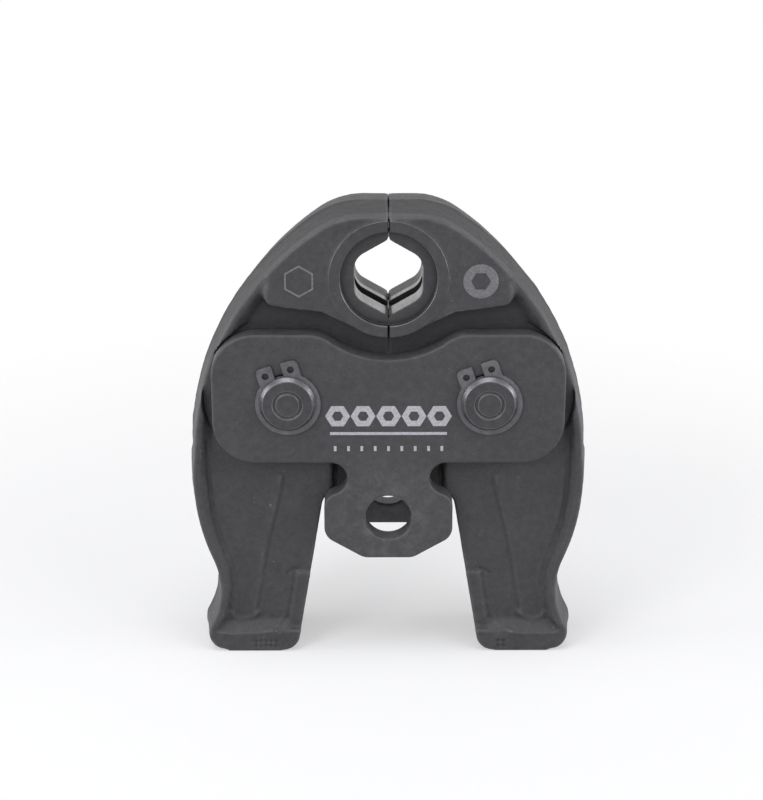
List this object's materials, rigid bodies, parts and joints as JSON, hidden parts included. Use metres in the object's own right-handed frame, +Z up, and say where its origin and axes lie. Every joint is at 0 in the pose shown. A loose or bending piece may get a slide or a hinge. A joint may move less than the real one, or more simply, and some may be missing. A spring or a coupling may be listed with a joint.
{
  "type": "press fitting tool jaw",
  "caption": "Scissor-type jaw for a press fitting tool: forged levers with a hexagonal pressing profile, pivoting on pins between side plates.",
  "frame": {"origin": "centre of the base, on the plane under both feet, midway between the side plates", "axes": "+Z up from the feet to the pressing head, +X across the levers, -Y towards the side that faces the viewer, along the pivot pins"},
  "size_m": [0.1214, 0.039, 0.1426],
  "materials": {
    "blackened_steel": "matt blackened forged steel",
    "oiled_steel": "dark oiled turned and punched steel"
  },
  "bodies": {
    "side_plates": {"front_side_plate": "blackened_steel", "rear_side_plate": "blackened_steel", "left_pivot_pin": "oiled_steel", "right_pivot_pin": "oiled_steel", "front_left_retaining_ring": "oiled_steel", "front_right_retaining_ring": "oiled_steel", "rear_left_retaining_ring": "oiled_steel", "rear_right_retaining_ring": "oiled_steel", "closing_spring": "oiled_steel"},
    "left_lever": {"left_jaw_lever": "blackened_steel"},
    "right_lever": {"right_jaw_lever": "blackened_steel"}
  },
  "joints": [
    {"name": "left_lever_hinge", "type": "hinge", "parent": "side_plates", "child": "left_lever", "pos_m": [-0.03, 0, 0.0848], "axis": [0, -1, 0], "range_deg": [0, 10], "stiffness_Nm_per_rad": 2, "springref_deg": -34.38, "deforming": ["closing_spring"]},
    {"name": "right_lever_hinge", "type": "hinge", "parent": "side_plates", "child": "right_lever", "pos_m": [0.03, 0, 0.0848], "axis": [0, 1, 0], "range_deg": [0, 10], "stiffness_Nm_per_rad": 2, "springref_deg": -34.38}
  ]
}
